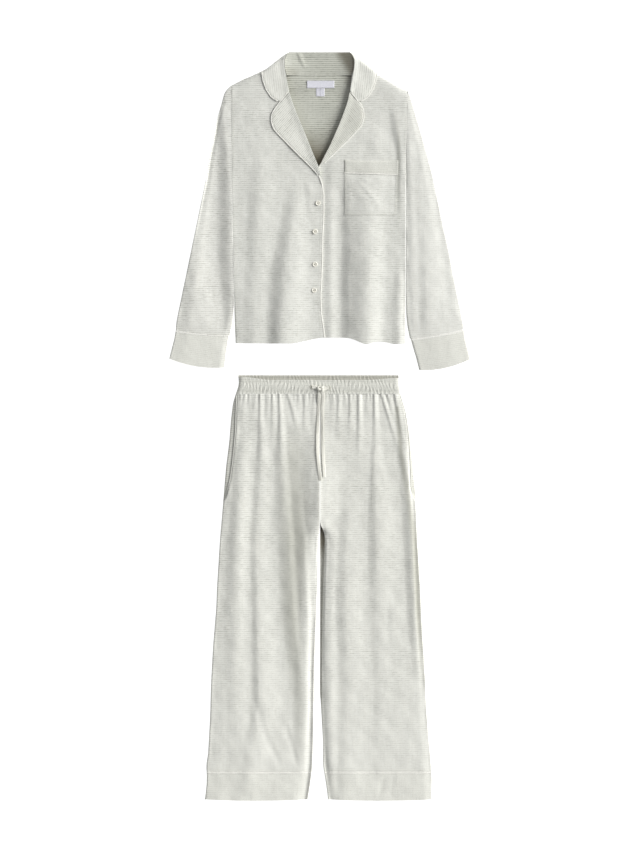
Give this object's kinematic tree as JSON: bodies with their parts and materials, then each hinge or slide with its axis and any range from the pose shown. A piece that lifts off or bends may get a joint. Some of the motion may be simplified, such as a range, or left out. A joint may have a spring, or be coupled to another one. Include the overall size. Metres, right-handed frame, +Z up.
{
  "type": "pyjama set",
  "caption": "Flat-laid pyjama set of fine striped jersey: a notch-collared button top above wide drawstring trousers.",
  "frame": {"origin": "on the surface that the set lies on, under the middle of its outline", "axes": "+Y from the trouser hems to the collar, +X to the picture's right, +Z up from the surface"},
  "size_m": [0.6934, 1.723, 0.0174],
  "materials": {
    "jersey": "fine horizontal stripe, cream and soft sage grey, matte",
    "piping": "plain cream bias piping, soft satin",
    "tape": "flat woven cotton tape",
    "label": "blank woven satin",
    "button": "cream pearl"
  },
  "bodies": {
    "root": {"button_1": "button", "button_2": "button", "button_3": "button", "button_4": "button", "collar_fall": "jersey", "collar_leaf_left": "jersey", "collar_leaf_right": "jersey", "collar_piping_left": "piping", "collar_piping_right": "piping", "collar_stand": "jersey", "cuff_left": "jersey", "cuff_piping_left": "piping", "cuff_piping_right": "piping", "cuff_right": "jersey", "drawstring_bridle_left": "tape", "drawstring_bridle_right": "tape", "drawstring_knot": "tape", "drawstring_tail_left": "tape", "drawstring_tail_right": "tape", "front_piping": "piping", "hem_cuff_left": "jersey", "hem_cuff_right": "jersey", "hem_piping_left": "piping", "hem_piping_right": "piping", "lapel_left": "jersey", "lapel_piping_left": "piping", "lapel_piping_right": "piping", "lapel_right": "jersey", "leg_back_left": "jersey", "leg_back_right": "jersey", "leg_front_left": "jersey", "leg_front_right": "jersey", "neck_label": "label", "pocket": "jersey", "pocket_band": "jersey", "pocket_piping": "piping", "pocket_welt_left": "jersey", "pocket_welt_right": "jersey", "shirt_back": "jersey", "shirt_front_left": "jersey", "shirt_front_right": "jersey", "size_tab": "label", "sleeve_left": "jersey", "sleeve_right": "jersey", "waistband_back": "jersey", "waistband_front": "jersey"}
  },
  "joints": []
}
